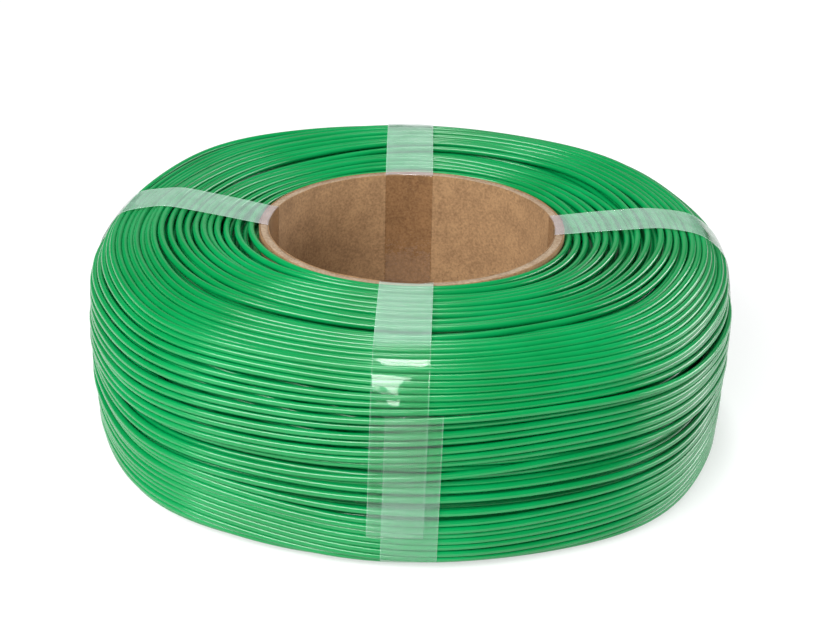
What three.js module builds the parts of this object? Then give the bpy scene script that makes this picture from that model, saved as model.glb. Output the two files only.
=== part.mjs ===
// Spool-less filament refill: a coil of 3-D printing filament wound on a cardboard core tube
// and bound by four loops of clear adhesive tape. It has no flanges: the core's bore slips
// over the hub of a reusable spool, and the tape is then cut away.
// Millimetres, +Z up along the core's axis. The origin is the middle of the underside, at
// the level of the tape that the coil rests on.
import * as THREE from "three";

// ---- Driving dimensions ----
const CLEARANCE = 0.3; // left between pieces that touch on the real coil
const SEGMENTS = 80; // facets round the axis, the same on every turned piece

const CORE_BORE = 76.2; // diameter inside the tube, a standard three-inch core
const CORE_LENGTH = 55;
const LINER_THICKNESS = 0.3; // each smooth kraft ply, inside and outside
const BOARD_THICKNESS = 1.9; // the grey board plies between the liners
const GLUE_LINE = 0.1; // between one ply and the next

const WINDING_DIAMETER = 172; // at its widest, under the loops of tape
const WINDING_BULGE = 2.8; // how much further it stands out midway between two loops
const NIP_SHARPNESS = 6; // an even power: the higher, the more steeply the bulges rise beside a loop
const WINDING_CREST = 56.8; // height of the top face at its highest
const WINDING_INNER_HEIGHT = 54.2; // next to the core, where the top face lies a little below the rim
const SHOULDER_RISE = 28.4; // height of the rounded shoulder, from the widest line up
const SHOULDER_REACH = 22; // radial depth of the shoulder
const SHOULDER_SQUARENESS = 3; // 2 is an ellipse, higher is squarer
const FOOT_INSET = 1.2; // how much slimmer the coil is at its foot
const FOOT_ROUND = 3; // radius of its bottom edge

const TAPE_WIDTH = 13.5;
const TAPE_THICKNESS = 0.2;
const TAPE_RAMP = 3; // length over which a strip climbs onto its own first end
const TAPE_FACETS = 4; // across the width, so that the strip follows the round faces
const SHORTEST_STEP = 0.05; // two places on a strip that are nearer than this are one

// Each strip starts on the outer side, goes down and under, up through the bore, over the
// top and down the side again, where it laps its own start. The lap runs from lapAbove over
// the widest line to lapBelow under it. Drift is how far the strip's middle lies to the
// side of its azimuth at its first end, in the bore and at its last end.
const TAPES = [
  { name: "tape_front", azimuth: -90, lapAbove: 14.5, lapBelow: 19, drift: [1.6, -0.5, -2.5] },
  { name: "tape_right", azimuth: 0, lapAbove: 8, lapBelow: 14, drift: [-3.0, 1.0, 4.0] },
  { name: "tape_back", azimuth: 90, lapAbove: 9, lapBelow: 17, drift: [0.5, 1.1, 1.2] },
  { name: "tape_left", azimuth: 170, lapAbove: 7, lapBelow: 16, drift: [1.0, 3.0, 0] },
];

// ---- Worked-out sizes ----
const footHeight = TAPE_THICKNESS + CLEARANCE; // the tape passes under core and winding
const boreRadius = CORE_BORE / 2;
const boardRadius = boreRadius + LINER_THICKNESS + GLUE_LINE;
const outerLinerRadius = boardRadius + BOARD_THICKNESS + GLUE_LINE;
const coreRadius = outerLinerRadius + LINER_THICKNESS;
const rimHeight = footHeight + CORE_LENGTH;
const windingInnerRadius = coreRadius + CLEARANCE;
const windingRadius = WINDING_DIAMETER / 2;
const crestHeight = footHeight + WINDING_CREST;
const widestHeight = crestHeight - SHOULDER_RISE;

// ---- Materials ----
function material(color, roughness) {
  return new THREE.MeshStandardMaterial({ color, roughness, metalness: 0 });
}
const linerMaterial = material("#b28a63", 0.85);
const boardMaterial = material("#a08c78", 0.95);
const filamentMaterial = material("#12a457", 0.35);
const tapeMaterial = material("#d8ebe2", 0.3);
tapeMaterial.transparent = true;
tapeMaterial.opacity = 0.45;

// ---- Sections, as points (radius, height) ----

// The winding's outer side and top, from the bottom edge round the shoulder to its crest.
function windingSide() {
  const points = [];
  const footRadius = windingRadius - FOOT_INSET;
  const roundSteps = 3;
  for (let i = 0; i <= roundSteps; i++) {
    const turn = (i / roundSteps) * (Math.PI / 2);
    points.push(
      new THREE.Vector2(
        footRadius - FOOT_ROUND * (1 - Math.sin(turn)),
        footHeight + FOOT_ROUND * (1 - Math.cos(turn)),
      ),
    );
  }
  const shoulderSteps = 9;
  for (let i = 0; i <= shoulderSteps; i++) {
    const turn = (i / shoulderSteps) * (Math.PI / 2);
    const power = 2 / SHOULDER_SQUARENESS;
    points.push(
      new THREE.Vector2(
        windingRadius - SHOULDER_REACH * (1 - Math.max(Math.cos(turn), 0) ** power),
        widestHeight + SHOULDER_RISE * Math.sin(turn) ** power,
      ),
    );
  }
  return points;
}

// The section of the bound coil, core and winding together, as the corners that can touch a
// strip drawn tight round it.
function boundSection() {
  return [
    new THREE.Vector2(boreRadius, footHeight),
    new THREE.Vector2(boreRadius, rimHeight),
    new THREE.Vector2(coreRadius, rimHeight),
    new THREE.Vector2(windingInnerRadius, footHeight + WINDING_INNER_HEIGHT),
    ...windingSide(),
  ];
}

// The tight outline round a section: its convex outline, which starts at the widest line and
// goes down, under, up the bore and over the top.
function tightOutline(section) {
  const turnsOut = (a, b, c) => (b.x - a.x) * (c.y - a.y) - (b.y - a.y) * (c.x - a.x) >= 0;
  const halfOutline = (ordered) => {
    const kept = [];
    for (const point of ordered) {
      while (kept.length > 1 && turnsOut(kept.at(-2), kept.at(-1), point)) kept.pop();
      kept.push(point);
    }
    return kept.slice(0, -1);
  };
  const ordered = [...section].sort((a, b) => a.x - b.x || a.y - b.y);
  const outline = [...halfOutline(ordered), ...halfOutline(ordered.reverse())];
  const widest = outline.findIndex((point) => point.x === windingRadius);
  return [...outline.slice(widest), ...outline.slice(0, widest)];
}

// ---- Pieces ----

// A closed profile turned about the axis. The profile runs anticlockwise round its section.
function turned(name, profile, pieceMaterial) {
  const geometry = new THREE.LatheGeometry([...profile, profile[0].clone()], SEGMENTS);
  geometry.rotateX(Math.PI / 2);
  return named(name, geometry, pieceMaterial);
}

function named(name, geometry, pieceMaterial) {
  const mesh = new THREE.Mesh(geometry, pieceMaterial);
  mesh.name = name;
  return mesh;
}

// One ply of the core tube.
function ply(name, innerRadius, thickness, pieceMaterial) {
  const profile = [
    new THREE.Vector2(innerRadius, footHeight),
    new THREE.Vector2(innerRadius + thickness, footHeight),
    new THREE.Vector2(innerRadius + thickness, rimHeight),
    new THREE.Vector2(innerRadius, rimHeight),
  ];
  return turned(name, profile, pieceMaterial);
}

// The winding is nipped in under the loops of tape and stands out between them, most at its
// outer side and not at all next to the core.
function winding() {
  const profile = [
    new THREE.Vector2(windingInnerRadius, footHeight),
    ...windingSide(),
    new THREE.Vector2(windingInnerRadius, footHeight + WINDING_INNER_HEIGHT),
  ];
  const mesh = turned("filament_winding", profile, filamentMaterial);
  const position = mesh.geometry.getAttribute("position");
  for (let i = 0; i < position.count; i++) {
    const place = new THREE.Vector2(position.getX(i), position.getY(i));
    const outward = (place.length() - windingInnerRadius) / (windingRadius - windingInnerRadius);
    const between = Math.sin((place.angle() * TAPES.length) / 2) ** NIP_SHARPNESS;
    place.setLength(place.length() + WINDING_BULGE * outward * between);
    position.setXY(i, place.x, place.y);
  }
  return mesh;
}

// The outward normal where two edges of an outline meet, lengthened so that a wall drawn
// along it keeps its thickness round the corner.
function mitre(before, at, after) {
  const outward = (from, to) => new THREE.Vector2(from.y - to.y, to.x - from.x).normalize();
  const first = outward(before, at);
  const second = outward(at, after);
  const middle = first.clone().add(second).normalize();
  return middle.divideScalar(middle.dot(first));
}

// The corners of a closed outline with their distance from its start, on the trip round it
// and on the trips before and after.
function cornersOf(outline, length) {
  const corners = [];
  for (const trip of [-1, 0, 1]) {
    let distance = trip * length;
    outline.forEach((point, i) => {
      corners.push({ distance, point });
      distance += point.distanceTo(outline[(i + 1) % outline.length]);
    });
  }
  return corners;
}

// The place and the normal at a distance along the outline.
function stopAt(corners, distance) {
  const i = corners.findLastIndex((corner) => corner.distance <= distance);
  const [before, from, to] = corners.slice(i - 1, i + 2);
  const share = (distance - from.distance) / (to.distance - from.distance);
  const point = from.point.clone().lerp(to.point, share);
  const entry = share > 0 ? from.point : before.point;
  return { distance, point, normal: mitre(entry, point, to.point) };
}

// A flat strip wrapped once round the bound section, its last end over its first. The strip
// is a box with one row of faces between each stop and the next: x runs along it, y across
// it and z through its thickness.
function tape({ name, azimuth, lapAbove, lapBelow, drift }) {
  const outline = tightOutline(boundSection());
  const length = outline.reduce((sum, p, i) => sum + p.distanceTo(outline[(i + 1) % outline.length]), 0);
  const corners = cornersOf(outline, length);
  const start = -lapAbove;
  const end = length + lapBelow;
  const climbEnd = length - lapAbove - CLEARANCE;
  const climbStart = climbEnd - TAPE_RAMP;
  const stops = [start, climbStart, climbEnd, end, ...corners.map((corner) => corner.distance)]
    .filter((distance) => distance >= start && distance <= end)
    .sort((a, b) => a - b)
    .filter((distance, i, all) => i === 0 || distance - all[i - 1] > SHORTEST_STEP)
    .map((distance) => stopAt(corners, distance));
  const bore = stops.find((stop) => stop.point.x === boreRadius).distance + CORE_LENGTH / 2;

  const driftAt = (distance) =>
    distance < bore
      ? THREE.MathUtils.mapLinear(distance, start, bore, drift[0], drift[1])
      : THREE.MathUtils.mapLinear(distance, bore, end, drift[1], drift[2]);
  const climbAt = (distance) => THREE.MathUtils.clamp((distance - climbStart) / TAPE_RAMP, 0, 1);

  const geometry = new THREE.BoxGeometry(1, 1, 1, stops.length - 1, TAPE_FACETS, 1);
  const position = geometry.getAttribute("position");
  for (let i = 0; i < position.count; i++) {
    const stop = stops[Math.round((position.getX(i) + 0.5) * (stops.length - 1))];
    const layer = CLEARANCE + climbAt(stop.distance) * (TAPE_THICKNESS + CLEARANCE);
    const lift = layer + (position.getZ(i) + 0.5) * TAPE_THICKNESS;
    const place = stop.point.clone().addScaledVector(stop.normal, lift);
    const sideways = position.getY(i) * TAPE_WIDTH + driftAt(stop.distance);
    const angle = THREE.MathUtils.degToRad(azimuth) + sideways / place.x;
    position.setXYZ(i, place.x * Math.cos(angle), place.x * Math.sin(angle), place.y);
  }
  return named(name, geometry, tapeMaterial);
}

// ---- Assembly ----
const refill = new THREE.Group();
refill.add(ply("core_inner_liner", boreRadius, LINER_THICKNESS, linerMaterial));
refill.add(ply("core_board", boardRadius, BOARD_THICKNESS, boardMaterial));
refill.add(ply("core_outer_liner", outerLinerRadius, LINER_THICKNESS, linerMaterial));
refill.add(winding());
for (const strip of TAPES) refill.add(tape(strip));

export default refill;
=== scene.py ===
"""A spool-less refill of 3-D printing filament: green strand wound on a cardboard core tube
and bound by four loops of clear tape. The strand, the tape and the paper of the core are
modelled here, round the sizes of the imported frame. Metres, +Z up along the core's axis."""

import math

import bmesh
import bpy
import numpy as np
from mathutils import Matrix, Vector


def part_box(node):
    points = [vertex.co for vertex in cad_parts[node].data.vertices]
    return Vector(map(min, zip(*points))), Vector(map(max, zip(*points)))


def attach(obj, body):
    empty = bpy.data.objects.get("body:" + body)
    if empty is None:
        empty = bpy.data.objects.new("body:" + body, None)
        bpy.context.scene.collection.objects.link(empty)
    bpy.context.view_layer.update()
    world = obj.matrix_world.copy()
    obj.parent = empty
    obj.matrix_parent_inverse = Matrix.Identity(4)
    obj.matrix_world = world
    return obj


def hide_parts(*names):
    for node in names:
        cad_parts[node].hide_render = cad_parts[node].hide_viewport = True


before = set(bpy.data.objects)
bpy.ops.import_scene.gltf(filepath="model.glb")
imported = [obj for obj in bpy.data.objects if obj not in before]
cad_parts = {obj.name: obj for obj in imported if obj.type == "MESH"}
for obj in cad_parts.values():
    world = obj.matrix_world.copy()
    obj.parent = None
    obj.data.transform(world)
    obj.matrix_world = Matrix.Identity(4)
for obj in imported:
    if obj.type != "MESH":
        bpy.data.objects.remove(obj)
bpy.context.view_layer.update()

MM = 0.001
TAU = 2 * math.pi


def polar(radius, angle, height):
    return Vector((radius * math.cos(angle), radius * math.sin(angle), height))


# ---- Camera ----
def make_camera():
    """A long lens a little above the coil, rolled slightly, at the side with the lapped tape."""
    aim = Vector((0.75 * MM, 0, 30.5 * MM))
    distance = 518.6 * MM
    elevation = math.radians(24.5)
    roll = math.radians(1.2)
    back = Vector((0, -math.cos(elevation), math.sin(elevation)))
    level_right = Vector((1, 0, 0))
    level_up = back.cross(level_right)
    right = level_right * math.cos(roll) + level_up * math.sin(roll)
    turn = Matrix((right, back.cross(right), back)).transposed()
    data = bpy.data.cameras.new("camera")
    data.sensor_width = 36
    data.lens = 82.85
    data.clip_start = 0.01
    camera = bpy.data.objects.new("camera", data)
    camera.matrix_world = Matrix.Translation(aim + back * distance) @ turn.to_4x4()
    bpy.context.scene.collection.objects.link(camera)
    bpy.context.scene.camera = camera


make_camera()


# ---- Sizes from the frame ----
def outer_radius(node):
    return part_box(node)[1].x


winding_low, winding_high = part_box("filament_winding")
foot = winding_low.z
widest_radius = winding_high.y
crest = winding_high.z
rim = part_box("core_board")[1].z
core_radius = outer_radius("core_outer_liner")
board_radius = outer_radius("core_board")
inner_liner_radius = outer_radius("core_inner_liner")
BORE_RADIUS = 38.1 * MM  # of a standard three-inch core

STRAND = 1.75 * MM  # diameter
INNER_DIP = 2.6 * MM  # the top face is that much lower beside the core than at its crest
SHOULDER_RISE = 28.4 * MM  # height of the rounded shoulder, from the widest line up
SHOULDER_REACH = 22 * MM  # radial depth of the shoulder
SHOULDER_SQUARENESS = 3  # 2 is an ellipse, higher is squarer
FOOT_INSET = 1.2 * MM  # how much slimmer the coil is at its foot
FOOT_ROUND = 3 * MM  # radius of its bottom edge
CORE_GAP = 0.1 * MM  # between the core and the winding's section
widest_height = crest - SHOULDER_RISE

BULGE = 2.8 * MM  # of the side, midway between two loops of tape
NIP_SHARPNESS = 6  # an even power: the higher, the more steeply the bulges rise beside a loop
BACK_RISE = 2 * MM  # the top face is that much higher at the back, and lower at the front
BACK_RISE_GROWTH = 2.2  # the higher, the nearer to the core it has grown to that
LEFT_LIFT = 2.5 * MM  # the outer foot is that much higher on the left
CORE_WAVE = 1 * MM  # mean rise of the innermost turns beside the core
CORE_WAVE_REACH = 0.16  # how far out they rise, as a share of the winding's depth
CORE_WAVE_HIGHEST = -2.2  # azimuth in radians where they rise most
CORE_WAVE_ONCE = 0.3  # the share of the rise that comes and goes once round the core
CORE_WAVE_TWICE = 0.45  # and the share that does so twice


# ---- Materials ----
def linear(code):
    """An sRGB hex value as linear RGBA."""
    parts = [int(code[i : i + 2], 16) / 255 for i in (1, 3, 5)]
    return tuple(c / 12.92 if c <= 0.04045 else ((c + 0.055) / 1.055) ** 2.4 for c in parts) + (1,)


def add(tree, kind, settings=None, **links):
    """Adds a node. Settings are its properties, or values of its inputs by name or number.
    Links give an input the socket that feeds it: the input's name with _ for a space, or n_
    and its number."""
    node = tree.nodes.new("ShaderNode" + kind)
    for key, value in (settings or {}).items():
        if isinstance(key, str) and hasattr(node, key):
            setattr(node, key, value)
        else:
            node.inputs[key].default_value = value
    for key, socket in links.items():
        name = key.replace("_", " ")
        tree.links.new(socket, node.inputs[int(name[2:]) if name.startswith("n ") else name])
    return node


def new_material(name):
    made = bpy.data.materials.new(name)
    made.use_nodes = True
    made.node_tree.nodes.clear()
    return made, made.node_tree


def extruded_pla():
    """Green PLA drawn through a round die: semi-gloss, an even body colour that wanders a
    little along the strand, with a fine waviness that breaks up the highlights."""
    made, tree = new_material("extruded_pla_green")
    place = add(tree, "TexCoord").outputs["Object"]
    batch = add(tree, "TexNoise", {"Scale": 1 / (22 * MM), "Detail": 2.0}, Vector=place)
    share = add(tree, "MapRange", {"From Min": 0.3, "From Max": 0.7}, Value=batch.outputs["Fac"])
    colour = add(
        tree,
        "Mix",
        {"data_type": "RGBA", 6: linear("#007f3e"), 7: linear("#008c49")},
        n_0=share.outputs["Result"],
    )
    scuff = add(tree, "TexNoise", {"Scale": 1 / (3 * MM), "Detail": 3.0}, Vector=place)
    gloss = add(tree, "MapRange", {"To Min": 0.19, "To Max": 0.29}, Value=scuff.outputs["Fac"])
    waves = add(tree, "TexNoise", {"Scale": 1 / (1.6 * MM), "Detail": 1.0}, Vector=place)
    bump = add(tree, "Bump", {"Strength": 0.25, "Distance": 0.04 * MM}, Height=waves.outputs["Fac"])
    shader = add(
        tree,
        "BsdfPrincipled",
        {"IOR": 1.46, "Specular IOR Level": 0.6, "Metallic": 0.0},
        Base_Color=colour.outputs[2],
        Roughness=gloss.outputs["Result"],
        Normal=bump.outputs["Normal"],
    )
    add(tree, "OutputMaterial", Surface=shader.outputs["BSDF"])
    return made


def kraft_paper(name, pale, dark):
    """Uncoated kraft: matt, with short fibres and a speckle of bark, both about as fine as
    they are on paper."""
    made, tree = new_material(name)
    place = add(tree, "TexCoord").outputs["Object"]
    cloud = add(tree, "TexNoise", {"Scale": 1 / (6 * MM), "Detail": 4.0}, Vector=place)
    fibre = add(
        tree,
        "TexNoise",
        {"Scale": 1 / (0.7 * MM), "Detail": 4.0, "Roughness": 0.7},
        Vector=place,
    )
    mottle = add(
        tree,
        "Mix",
        {"data_type": "FLOAT", 0: 0.28},
        n_2=fibre.outputs["Fac"],
        n_3=cloud.outputs["Fac"],
    )
    share = add(tree, "MapRange", {"From Min": 0.38, "From Max": 0.6}, Value=mottle.outputs[0])
    base = add(
        tree,
        "Mix",
        {"data_type": "RGBA", 6: linear(dark), 7: linear(pale)},
        n_0=share.outputs["Result"],
    )
    grit = add(tree, "TexVoronoi", {"Scale": 1 / (1.9 * MM)}, Vector=place)
    speck = add(
        tree,
        "MapRange",
        {"From Min": 0.06, "From Max": 0.12, "To Min": 0.55, "To Max": 0.0},
        Value=grit.outputs["Distance"],
    )
    colour = add(
        tree,
        "Mix",
        {"data_type": "RGBA", 7: linear("#5c402c")},
        n_0=speck.outputs["Result"],
        n_6=base.outputs[2],
    )
    bump = add(tree, "Bump", {"Strength": 0.5, "Distance": 0.05 * MM}, Height=fibre.outputs["Fac"])
    shader = add(
        tree,
        "BsdfPrincipled",
        {"Roughness": 0.88, "IOR": 1.45, "Metallic": 0.0},
        Base_Color=colour.outputs[2],
        Normal=bump.outputs["Normal"],
    )
    add(tree, "OutputMaterial", Surface=shader.outputs["BSDF"])
    return made


def packing_tape():
    """Clear polypropylene tape: a glossy film that is nearly invisible where its glue wets the
    strand and milky where it bridges. The haze attribute says how milky it is, and on_core
    where its glue darkens paper. Off the core the milky haze is tinted green: painted green
    light, bounced up from the strands beneath."""
    made, tree = new_material("clear_polypropylene_tape")
    place = add(tree, "TexCoord").outputs["Object"]
    haze = add(tree, "Attribute", {"attribute_name": "haze"}).outputs["Fac"]
    patches = add(tree, "TexNoise", {"Scale": 1 / (4 * MM), "Detail": 3.0}, Vector=place)
    uneven = add(tree, "MapRange", {"To Min": 0.6, "To Max": 1.4}, Value=patches.outputs["Fac"])
    milk = add(tree, "Math", {"operation": "MULTIPLY"}, n_0=haze, n_1=uneven.outputs["Result"])
    wrinkle = add(tree, "TexNoise", {"Scale": 1 / (5 * MM), "Detail": 2.0}, Vector=place)
    bump = add(tree, "Bump", {"Strength": 0.4, "Distance": 0.25 * MM}, Height=wrinkle.outputs["Fac"])
    on_core = add(tree, "Attribute", {"attribute_name": "on_core"}).outputs["Fac"]
    tint = add(
        tree,
        "Mix",
        {"data_type": "RGBA", 6: linear("#fefffe"), 7: linear("#f8f5f2")},
        n_0=on_core,
    )
    clear = add(tree, "BsdfTransparent", Color=tint.outputs[2])
    gloss = add(tree, "BsdfGlossy", {"Roughness": 0.08}, Normal=bump.outputs["Normal"])
    facing = add(tree, "LayerWeight", {"Blend": 0.5}, Normal=bump.outputs["Normal"])
    grazing = add(tree, "Math", {"operation": "POWER", 1: 5.0}, n_0=facing.outputs["Facing"])
    mirror = add(
        tree,
        "Math",
        {"operation": "MULTIPLY_ADD", 1: 0.98, 2: 0.02},
        n_0=grazing.outputs[0],
    )
    film = add(
        tree,
        "MixShader",
        Fac=mirror.outputs[0],
        n_1=clear.outputs["BSDF"],
        n_2=gloss.outputs["BSDF"],
    )
    # Off the core the haze colour is tinted green: painted green light bounced up from the strands
    # beneath. On the core it is a pale pinkish white.
    milky = add(
        tree,
        "Mix",
        {"data_type": "RGBA", 6: linear("#d2fbe8"), 7: linear("#f0e8ee")},
        n_0=on_core,
    )
    glue = add(
        tree,
        "BsdfPrincipled",
        {"Roughness": 0.3, "IOR": 1.5, "Metallic": 0.0},
        Base_Color=milky.outputs[2],
        Normal=bump.outputs["Normal"],
    )
    shader = add(
        tree,
        "MixShader",
        Fac=milk.outputs[0],
        n_1=film.outputs["Shader"],
        n_2=glue.outputs["BSDF"],
    )
    add(tree, "OutputMaterial", Surface=shader.outputs["Shader"])
    return made


def table_top():
    """Plain matt white sheet that glows evenly, as if lit through from beneath."""
    made, tree = new_material("white_sheet")
    place = add(tree, "TexCoord").outputs["Object"]
    grain = add(tree, "TexNoise", {"Scale": 1 / (2 * MM)}, Vector=place)
    colour = add(
        tree,
        "Mix",
        {"data_type": "RGBA", 6: linear("#a9aaaa"), 7: linear("#afb0b0")},
        n_0=grain.outputs["Fac"],
    )
    matt = {"Roughness": 0.9, "Metallic": 0.0}
    lit = {"Emission Color": linear("#ffffff"), "Emission Strength": 0.6}
    shader = add(tree, "BsdfPrincipled", {**matt, **lit}, Base_Color=colour.outputs[2])
    add(tree, "OutputMaterial", Surface=shader.outputs["BSDF"])
    return made


pla = extruded_pla()
liner_paper = kraft_paper("kraft_liner_paper", "#967551", "#735639")
grey_board = kraft_paper("recycled_core_board", "#a8947d", "#80684f")
tape_film = packing_tape()


# ---- The winding's section ----
# Its outline runs anticlockwise through points (radius, height): from the core along the
# underside, up the side, over the shoulder and back over the top face to the core.
FOOT_POINTS = 8
SHOULDER_POINTS = 60
OUTLINE_SPACING = 0.4 * MM


def section_outline():
    inner = core_radius + CORE_GAP
    foot_radius = widest_radius - FOOT_INSET
    points = [(inner, foot)]
    for turn in np.linspace(0, math.pi / 2, FOOT_POINTS):
        points.append(
            (
                foot_radius - FOOT_ROUND * (1 - math.sin(turn)),
                foot + FOOT_ROUND * (1 - math.cos(turn)),
            )
        )
    power = 2 / SHOULDER_SQUARENESS
    for turn in np.linspace(0, math.pi / 2, SHOULDER_POINTS):
        points.append(
            (
                widest_radius - SHOULDER_REACH * (1 - max(math.cos(turn), 0) ** power),
                widest_height + SHOULDER_RISE * math.sin(turn) ** power,
            )
        )
    points.append((inner, crest - INNER_DIP))
    return np.array(points)


def lengths_along(points):
    return np.r_[0, np.cumsum(np.hypot(*np.diff(points, axis=0).T))]


def points_at(stops, along, points):
    """The places at those stops on a line, whose points lie that far along it."""
    return np.stack([np.interp(stops, along, points[:, i]) for i in (0, 1)], axis=1)


def resampled(points, spacing):
    along = lengths_along(points)
    stops = np.linspace(0, along[-1], int(along[-1] / spacing))
    return points_at(stops, along, points)


def outward_normals(points):
    ahead = np.gradient(points, axis=0)
    normals = np.stack([ahead[:, 1], -ahead[:, 0]], axis=1)
    return normals / np.linalg.norm(normals, axis=1)[:, None]


def smoothed(values, reach):
    """Values with a Gaussian blur, reach samples wide. The ends keep their values."""
    offsets = np.arange(-3 * reach, 3 * reach + 1)
    weights = np.exp(-0.5 * (offsets / reach) ** 2)
    padded = np.pad(values, len(offsets) // 2, mode="edge")
    return np.convolve(padded, weights / weights.sum(), mode="valid")


def smoothed_columns(table, reach):
    return np.stack([smoothed(column, reach) for column in table.T], axis=1)


# The middle line of the outermost strands, half a strand inside the outline.
envelope = resampled(section_outline(), OUTLINE_SPACING)
middle_line = resampled(envelope - outward_normals(envelope) * STRAND / 2, OUTLINE_SPACING)
middle_normals = smoothed_columns(outward_normals(middle_line), 3)
middle_lengths = lengths_along(middle_line)
outline_length = middle_lengths[-1]


def uneven(radius, height, angle):
    """How the real winding departs from a true ring: it bulges between the loops of tape, its
    top face is higher at the back, its outer foot is lifted on the left, and the innermost
    turns rise and fall beside the core."""
    share_out = np.clip((radius - core_radius) / (widest_radius - core_radius), 0, 1)
    share_up = np.clip((height - foot) / (crest - foot), 0, 1)
    bulge = BULGE * share_out * np.sin(2 * angle) ** NIP_SHARPNESS
    grown = np.clip(BACK_RISE_GROWTH * share_out, 0, 1)
    back = BACK_RISE * np.sin(angle) * share_up * grown
    left = LEFT_LIFT * (1 - np.cos(angle)) / 2 * (1 - share_up) * share_out**2
    beside_core = np.exp(-((share_out / CORE_WAVE_REACH) ** 2)) * share_up
    from_highest = angle - CORE_WAVE_HIGHEST
    once = CORE_WAVE_ONCE * np.cos(from_highest)
    twice = CORE_WAVE_TWICE * np.cos(2 * from_highest)
    wave = CORE_WAVE * beside_core * (1 + once + twice)
    return radius + bulge, height + back + left + wave


def off_middle_line(along, out):
    """Radii and heights of points along the middle line and out from it."""
    places = points_at(along, middle_lengths, middle_line)
    normals = points_at(along, middle_lengths, middle_normals)
    return (places + normals * out[:, None]).T


def on_winding(along, out, angle):
    """The same on the uneven winding, in the half-plane at an angle."""
    return uneven(*off_middle_line(along, out), angle)


# ---- The strand ----
TURN_STEPS = 168  # points in a turn of the outer layer
LOWER_TURN_STEPS = 120  # and in a turn of the layer beneath
HELIX_SAMPLES = 4000
TIGHT = STRAND * 0.97  # neighbours nearer than this push each other aside
PITCH_PLACES = np.array([0, 10, 30, 50]) * MM  # out from the core, over the top face
PITCHES = np.array([2.3, 2.2, 2.15, 2.0]) * MM  # mean distance between turns at those places
SLIVER_START = 0.6  # the higher, the fewer the gaps and the wider each
SHIFT_KEPT = 0.94  # how much of a turn's shift the next turn has too
SWAY = 2 * MM  # how far a bundle of turns wanders to and fro along the outline
BUNDLE = 3  # turns over which a sway is shared
SETTLING_TURNS = 4  # at either end of a layer, over which gaps and sway die out
HEIGHT_WANDER = 0.42 * MM  # a turn's height over the turns below varies by about that much
LOWER_LAYER = -1.1 * STRAND  # its middle line, out from the outer layer's
PRESSED = 10 * MM  # from the bottom edge on, over which the heights become uneven

# Smooth noise along a strand is blurred over one such part of a turn.
GAP_PART = 16
SWAY_PART = 9
HEIGHT_PART = 11
LOWER_HEIGHT_PART = 9

PUSH_ROUNDS = 60
PUSH_EASING = 0.3
STEEPEST = 0.8 * TIGHT  # the most that counts of a turn's height over the next

OUTER_CUTS = (0, 0.34, 0.7, 1)  # where the outer layer is cut into lengths, as shares


def pitch_at(along):
    """Mean distance between neighbouring turns: close on the side, looser on the top face, and
    loosest beside the core."""
    return np.interp(outline_length - along, PITCH_PLACES, PITCHES)


def even_helix(first, last, steps):
    """The distance along the outline of each point of an evenly wound layer of whole turns."""
    along = np.linspace(first, last, HELIX_SAMPLES)
    turns = np.r_[0, np.cumsum(np.diff(along) / pitch_at(along[1:]))]
    whole = int(turns[-1])
    return np.interp(np.arange(whole * steps) / steps, turns * whole / turns[-1], along)


def wander(random, count, reach):
    """Smooth noise of unit spread along a strand."""
    values = smoothed(random.standard_normal(count), reach)
    return values / values.std()


def opened_gaps(random, along, steps):
    """The turns lie tight in bundles. Between them a gap opens and closes again as a long
    pointed sliver, and the turns that follow share out the shift."""
    slack = pitch_at(along) - TIGHT
    opening = np.maximum(wander(random, len(along), steps // GAP_PART) - SLIVER_START, 0)
    turns = (slack * (opening / opening.mean() - 1)).reshape(-1, steps)
    for before, turn in zip(turns, turns[1:]):
        turn += SHIFT_KEPT * before
    return turns.ravel()


def swayed(random, count, steps):
    """Bundles of neighbouring turns sway to and fro together as they go round."""
    turns = wander(random, count, steps // SWAY_PART).reshape(-1, steps)
    shared = smoothed_columns(turns, BUNDLE).ravel()
    return shared / shared.std() * SWAY


def unsettled(random, along, steps):
    """An evenly wound layer with its gaps and its sway, which die out in its end turns."""
    count = len(along)
    from_end = np.minimum(np.arange(count), count - 1 - np.arange(count))
    shift = opened_gaps(random, along, steps) + swayed(random, count, steps)
    return along + shift * np.clip(from_end / (SETTLING_TURNS * steps), 0, 1)


def pushed_apart(along, out, steps):
    """Moves the turns aside where they would run through each other, but not into the core."""
    for _ in range(PUSH_ROUNDS):
        climb = np.minimum(np.abs(out[steps:] - out[:-steps]), STEEPEST)
        overlap = np.sqrt(TIGHT**2 - climb**2) - (along[steps:] - along[:-steps])
        push = np.maximum(overlap, 0) / 2
        along[steps:] += push
        along[:-steps] -= push
        along = along + PUSH_EASING * (smoothed(along, 2) - along)
        along = np.clip(along, STRAND / 2, outline_length - STRAND / 2)
    return along


def pressed_flat(out, along):
    """The coil's weight evens out the turns on the underside."""
    underside = widest_radius - FOOT_INSET - core_radius
    return out * np.clip((along - underside) / PRESSED, 0, 1)


def strand_piece(name, points, sides):
    """Round strand along the points, as one curve object."""
    curve = bpy.data.curves.new(name, "CURVE")
    curve.dimensions = "3D"
    curve.bevel_depth = STRAND / 2
    curve.bevel_resolution = sides // 2 - 2
    curve.use_fill_caps = True
    curve.twist_mode = "MINIMUM"
    spline = curve.splines.new("POLY")
    spline.points.add(len(points) - 1)
    spline.points.foreach_set("co", np.c_[points, np.ones(len(points))].ravel())
    spline.use_smooth = True
    curve.materials.append(pla)
    piece = bpy.data.objects.new(name, curve)
    bpy.context.scene.collection.objects.link(piece)
    return piece


def strand_points(along, out, angle):
    radius, height = on_winding(along, out, angle)
    return np.stack([radius * np.cos(angle), radius * np.sin(angle), height], axis=1)


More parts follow.
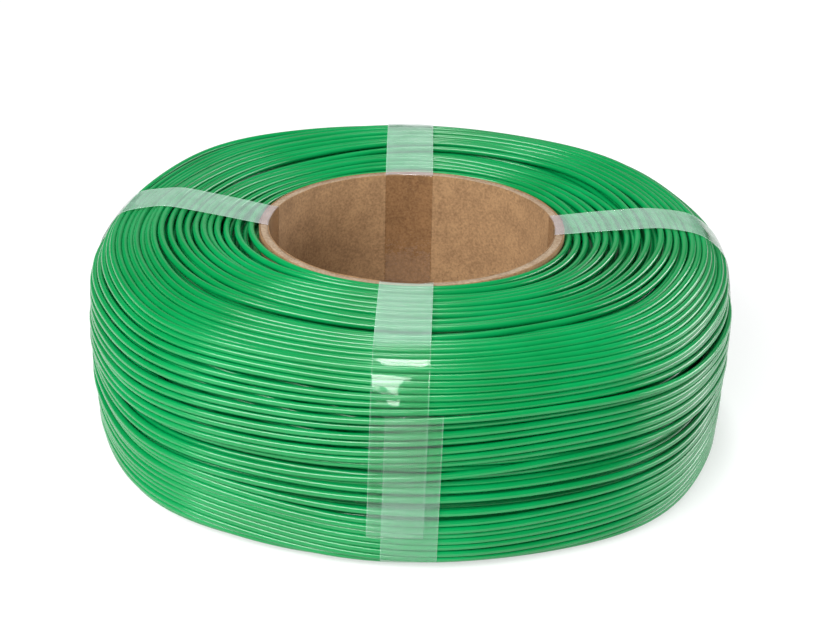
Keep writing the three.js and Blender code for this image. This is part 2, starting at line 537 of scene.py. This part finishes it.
def wind_outer_layer():
    """The turns that show, from the core along the underside and round to the core again, in
    three lengths. Gives the pieces and what the tape needs to know."""
    random = np.random.default_rng(11)
    along = even_helix(0, outline_length, TURN_STEPS)
    count = len(along)
    along = unsettled(random, along, TURN_STEPS)
    heights = wander(random, count, TURN_STEPS // HEIGHT_PART) * HEIGHT_WANDER
    out = pressed_flat(heights, along)
    along = pushed_apart(along, out, TURN_STEPS)
    points = strand_points(along, out, np.arange(count) * TAU / TURN_STEPS)
    cuts = [int(np.searchsorted(along, share * outline_length)) for share in OUTER_CUTS]
    pieces = []
    for name, first, last in zip(("underside", "side", "top"), cuts, cuts[1:]):
        length = points[first : last + 1]
        pieces.append(strand_piece("filament_turns_" + name, length, sides=10))
    return pieces, along, out


def wind_lower_layer():
    """The layer beneath, which shows in the gaps. It is wound the other way."""
    random = np.random.default_rng(5)
    steps = LOWER_TURN_STEPS
    along = even_helix(5 * MM, outline_length - STRAND / 2, steps)
    count = len(along)
    along = unsettled(random, along, steps)
    out = LOWER_LAYER + wander(random, count, steps // LOWER_HEIGHT_PART) * HEIGHT_WANDER
    along = pushed_apart(along, out, steps)
    points = strand_points(along, out, -np.arange(count) * TAU / steps)
    return strand_piece("filament_turns_below", points, sides=8)


# ---- Mesh helpers ----
def mesh_piece(name, shape, material):
    """A smooth-shaded object from a bmesh, which is freed."""
    bmesh.ops.recalc_face_normals(shape, faces=shape.faces)
    for face in shape.faces:
        face.smooth = True
    mesh = bpy.data.meshes.new(name)
    shape.to_mesh(mesh)
    shape.free()
    mesh.materials.append(material)
    piece = bpy.data.objects.new(name, mesh)
    bpy.context.scene.collection.objects.link(piece)
    return piece


def spun(profile, steps):
    """A closed profile of points (radius, height) spun round the axis."""
    shape = bmesh.new()
    ring = [shape.verts.new((radius, 0, height)) for radius, height in profile]
    edges = [shape.edges.new((ring[i - 1], ring[i])) for i in range(len(ring))]
    bmesh.ops.spin(
        shape,
        geom=ring + edges,
        axis=(0, 0, 1),
        cent=(0, 0, 0),
        angle=TAU,
        steps=steps,
        use_merge=True,
    )
    return shape


def inner_windings():
    """The rest of the strand, deep in the gaps, as one ring ridged at the strand's pitch."""
    pitch = 1.85 * MM
    depth = 2.2 * STRAND
    ridge = 0.3 * STRAND
    from_ends = 2 * MM
    stops = np.arange(from_ends, outline_length - from_ends, pitch / 4)
    out = ridge * np.abs(np.sin(math.pi * stops / pitch)) - depth
    radius, height = off_middle_line(stops, out)
    inner = core_radius + CORE_GAP / 2
    keep = radius > inner + 2 * CORE_GAP
    profile = list(zip(radius[keep], height[keep]))
    profile += [(inner, profile[-1][1]), (inner, profile[0][1])]
    return mesh_piece("filament_inner_windings", spun(profile, 120), pla)


# ---- The core tube ----
CORE_STEPS = 240
CUT_ROUND = 0.12 * MM  # of the cut edges
BOARD_SUNK = 0.12 * MM  # the board's cut lies that much below the liners'


def tube(name, inside, outside, top, material, raggedness, seed):
    """One ply of the tube, its cut ends a little rounded and ragged."""
    profile = []
    corners = [  # radius, height, and the signs that lead from there into the wall
        (inside, foot, 1, 1),
        (outside, foot, -1, 1),
        (outside, top, -1, -1),
        (inside, top, 1, -1),
    ]
    for radius, height, across, up in corners:
        ends = [(radius, height + up * CUT_ROUND), (radius + across * CUT_ROUND, height)]
        profile += ends if across * up > 0 else ends[::-1]
    shape = spun(profile, CORE_STEPS)
    random = np.random.default_rng(seed)
    ragged = smoothed(random.standard_normal(CORE_STEPS), 2) * raggedness
    for vertex in shape.verts:
        step = round(math.atan2(vertex.co.y, vertex.co.x) / TAU * CORE_STEPS) % CORE_STEPS
        away = 1 if vertex.co.z > (top + foot) / 2 else -1
        vertex.co.z += away * ragged[step]
    return mesh_piece(name, shape, material)


def make_core():
    """The three plies, from the bore outwards."""
    bore, liner, board, outside = BORE_RADIUS, inner_liner_radius, board_radius, core_radius
    board_top = rim - BOARD_SUNK
    return [
        tube("core_liner_inside", bore, liner, rim, liner_paper, 0.14 * MM, seed=1),
        tube("core_board_plies", liner, board, board_top, grey_board, 0.12 * MM, seed=2),
        tube("core_liner_outside", board, outside, rim, liner_paper, 0.05 * MM, seed=3),
    ]


# ---- Tape ----
TAPE_WIDTH = 13.5 * MM
TAPE_THICKNESS = 0.06 * MM
TAPE_STEPS = 520  # points along a strip
TAPE_COLUMNS = 12  # faces across it
TAPE_EDGE = 0.02  # the outermost of them, as a share of its width
TAPE_SHARES = [0, *np.linspace(TAPE_EDGE, 1 - TAPE_EDGE, TAPE_COLUMNS - 1), 1]
TAPE_RAMP = 3 * MM  # length over which a strip climbs onto its own first end
GLUE_LIFT = 0.03 * MM  # of the film over what it sticks to
SLACK_LIFT = 0.15 * MM  # more, where it isn't drawn round a corner
CORNER_BESIDE_CORE = 1 * MM  # out from the core, as far as the film is drawn round its rim
CORNER_ABOVE_FLOOR = 8 * MM  # up from the floor, as far as it is drawn round the foot
SUPPLE_GROWTH = 8 * MM  # past a corner, over which it goes slack
SKIN_SPACING = 0.5 * MM
SKIN_REACH = 1.6 * STRAND  # a strand holds the film up so far to either side
HULL_SPACING = 0.25 * MM

# How milky the film is, as a share: all over, and added where it bridges, below the widest
# line, at its last end and at its cut edges.
HAZE = 0.01
HAZE_BRIDGING = 0.16
HAZE_LOW_DOWN = 0.055
HAZE_LAST_END = 0.04
HAZE_EDGE = 0.15
BRIDGING_FADE = 5  # degrees of slope over which the film stops bridging
LOW_DOWN_GROWTH = 8 * MM
LAST_END_LENGTH = 10 * MM
LAST_END_GROWTH = 1 * MM

# name, azimuth in degrees, where it starts over the widest line and ends under it, how far it
# lies to the side at its first end, in the bore and at its last end, and the slope in degrees
# down to which it bridges the strands of the shoulder instead of sticking to them
TAPES = [
    ("tape_front", -90, 14.5, 19, (1.6, -0.5, -2.5), 13),
    ("tape_right", 0, 8, 14, (-3.0, 1.0, 4.0), 35),
    ("tape_back", 90, 9, 17, (0.5, 1.1, 1.2), 35),
    ("tape_left", 170, 7, 16, (1.0, 3.0, 0.0), 35),
]


def crowns_at(angle, along, out):
    """A smooth skin over the outer layer's crowns in the half-plane at an angle, as points
    (radius, height)."""
    step = (angle % TAU) / TAU * TURN_STEPS
    at = np.arange(step, len(along) - 1, TURN_STEPS)
    turn_along = np.interp(at, np.arange(len(along)), along)
    turn_out = np.interp(at, np.arange(len(along)), out)
    stops = np.arange(0, outline_length, SKIN_SPACING)
    near = np.abs(stops[:, None] - turn_along) < SKIN_REACH
    level = np.where(near, turn_out, turn_out.min()).max(axis=1)
    return np.stack(on_winding(stops, smoothed(level, 3) + STRAND / 2, angle), axis=1)


def convex_outline(points):
    """The tight outline round a section, anticlockwise."""
    kept = []
    order = points[np.lexsort((points[:, 1], points[:, 0]))]
    for half in (order, order[::-1]):
        base = len(kept)
        for point in half:
            while len(kept) - base > 1:
                first = kept[-1] - kept[-2]
                second = point - kept[-2]
                if first[0] * second[1] - first[1] * second[0] > 0:
                    break
                kept.pop()
            kept.append(point)
        kept.pop()
    return np.array(kept)


def tape_path(angle, along, out, lap_above, lap_below):
    """The film's way round the section at one angle: down the side, under, up the bore, over
    the top and down the side again. Gives TAPE_STEPS points, their outward normals and how far
    each is along the strip."""
    crowns = crowns_at(angle, along, out)
    core = [(radius, height) for radius in (BORE_RADIUS, core_radius) for height in (foot, rim)]
    hull = convex_outline(np.concatenate([crowns, core]))[::-1]
    fine = resampled(np.concatenate([hull, hull[:1]]), HULL_SPACING)[:-1]
    widest = np.argmin(np.hypot(*(fine - (widest_radius, widest_height)).T))
    loop = np.roll(fine, -widest, axis=0)
    loop = np.concatenate([loop, loop[:1]])
    around = lengths_along(loop)
    stops = np.linspace(-lap_above, around[-1] + lap_below, TAPE_STEPS)
    points = points_at(stops % around[-1], around, loop)
    from_core = points[:, 0] - core_radius - CORNER_BESIDE_CORE
    from_corners = np.minimum(from_core, points[:, 1] - CORNER_ABOVE_FLOOR)
    supple = np.clip(from_corners / SUPPLE_GROWTH, 0, 1)[:, None]
    points = points + supple * (smoothed_columns(points, 4) - points)
    ahead = np.gradient(points, axis=0)
    normals = smoothed_columns(np.stack([-ahead[:, 1], ahead[:, 0]], axis=1), 1)
    normals /= np.linalg.norm(normals, axis=1)[:, None]
    return points + normals * supple * SLACK_LIFT, normals, stops, around[-1]


def make_tape(name, azimuth, lap_above, lap_below, drift, bridged_slope, along, out):
    """A strip wrapped once round core and winding, its last end over its first."""
    shape = bmesh.new()
    rows = TAPE_STEPS - 1
    bmesh.ops.create_grid(shape, x_segments=rows, y_segments=TAPE_COLUMNS, size=0.5)
    haze_layer = shape.verts.layers.float.new("haze")
    core_layer = shape.verts.layers.float.new("on_core")
    paths = []
    shoulder_radius = 0.8 * widest_radius
    for share in TAPE_SHARES:
        sideways = (share - 0.5) * TAPE_WIDTH + drift[2] * MM
        angle = math.radians(azimuth) + sideways / shoulder_radius
        paths.append(tape_path(angle, along, out, lap_above * MM, lap_below * MM))
    for vertex in shape.verts:
        row = round((vertex.co.x + 0.5) * rows)
        column = round((vertex.co.y + 0.5) * TAPE_COLUMNS)
        points, normals, stops, around = paths[column]
        lie = np.interp(stops[row], [stops[0], around / 2, stops[-1]], drift) * MM
        ramp_start = around - lap_above * MM - TAPE_RAMP
        climb = np.clip((stops[row] - ramp_start) / TAPE_RAMP, 0, 1)
        lift = GLUE_LIFT + climb * 2 * TAPE_THICKNESS
        radius, height = points[row] + normals[row] * lift
        sideways = (TAPE_SHARES[column] - 0.5) * TAPE_WIDTH + lie
        angle = math.radians(azimuth) + sideways / radius
        vertex.co = polar(radius, angle, height)
        in_bore = radius < BORE_RADIUS and foot < height < rim
        slope = math.degrees(math.acos(np.clip(normals[row][1], -1, 1)))
        bridging = np.clip((bridged_slope - slope) / BRIDGING_FADE, 0, 1)
        low_down = np.clip((widest_height - height) / LOW_DOWN_GROWTH, 0, 1) * (1 - climb)
        last_end_start = stops[-1] - LAST_END_LENGTH
        last_end = np.clip((stops[row] - last_end_start) / LAST_END_GROWTH, 0, 1)
        haze = HAZE + HAZE_BRIDGING * bridging + HAZE_LOW_DOWN * low_down + HAZE_LAST_END * last_end
        if column in (0, TAPE_COLUMNS):
            haze += HAZE_EDGE
        vertex[haze_layer] = 0 if in_bore else haze
        vertex[core_layer] = 1 if radius < core_radius else 0
    piece = mesh_piece(name, shape, tape_film)
    wall = piece.modifiers.new("film", "SOLIDIFY")
    wall.thickness = TAPE_THICKNESS
    wall.offset = 1
    return piece


# ---- Studio ----
# name, azimuth and elevation in degrees, distance, width and height in metres, watts
SOFTBOXES = [
    ("softbox_front_left", -125, 38, 1.2, 1.2, 0.42, 25),
    ("softbox_right", 13, 15, 1.2, 1.3, 0.3, 12),
    ("softbox_overhead", 90, 86, 1.2, 0.2, 0.55, 6),
    ("backdrop_glow", 90, 22, 1.7, 1.3, 1.2, 2),
]


def make_floor():
    shape = bmesh.new()
    bmesh.ops.create_grid(shape, x_segments=8, y_segments=8, size=4)
    floor = mesh_piece("floor", shape, table_top())


def softbox(name, azimuth, elevation, distance, width, height, power):
    """A soft area light that faces the middle of the coil."""
    light = bpy.data.lights.new(name, "AREA")
    light.shape = "RECTANGLE"
    light.size = width
    light.size_y = height
    light.energy = power
    aim = Vector((0, 0, 30 * MM))
    rise = math.radians(elevation)
    away = polar(math.cos(rise), math.radians(azimuth), math.sin(rise))
    lamp = bpy.data.objects.new(name, light)
    facing = away.to_track_quat("Z", "Y").to_matrix().to_4x4()
    lamp.matrix_world = Matrix.Translation(aim + away * distance) @ facing
    lamp.visible_camera = False
    bpy.context.scene.collection.objects.link(lamp)


def make_studio():
    make_floor()
    for light in SOFTBOXES:
        softbox(*light)
    world = bpy.data.worlds.new("studio")
    world.use_nodes = True
    backdrop = world.node_tree.nodes["Background"]
    backdrop.inputs["Color"].default_value = linear("#ffffff")
    backdrop.inputs["Strength"].default_value = 0.05
    bpy.context.scene.world = world
    bpy.context.scene.view_settings.view_transform = "Standard"


# ---- Assembly ----
def mount(pieces, node):
    """The pieces ride on the coil's one body and stand for a node, whose part is hidden."""
    for piece in pieces:
        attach(piece, "root")
    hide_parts(node)


make_studio()

outer_pieces, outer_along, outer_out = wind_outer_layer()
mount(outer_pieces + [wind_lower_layer(), inner_windings()], "filament_winding")

inside_liner, board, outside_liner = make_core()
mount([inside_liner], "core_inner_liner")
mount([board], "core_board")
mount([outside_liner], "core_outer_liner")

for name, *shape_of_loop in TAPES:
    film = make_tape(name + "_film", *shape_of_loop, outer_along, outer_out)
    mount([film], name)
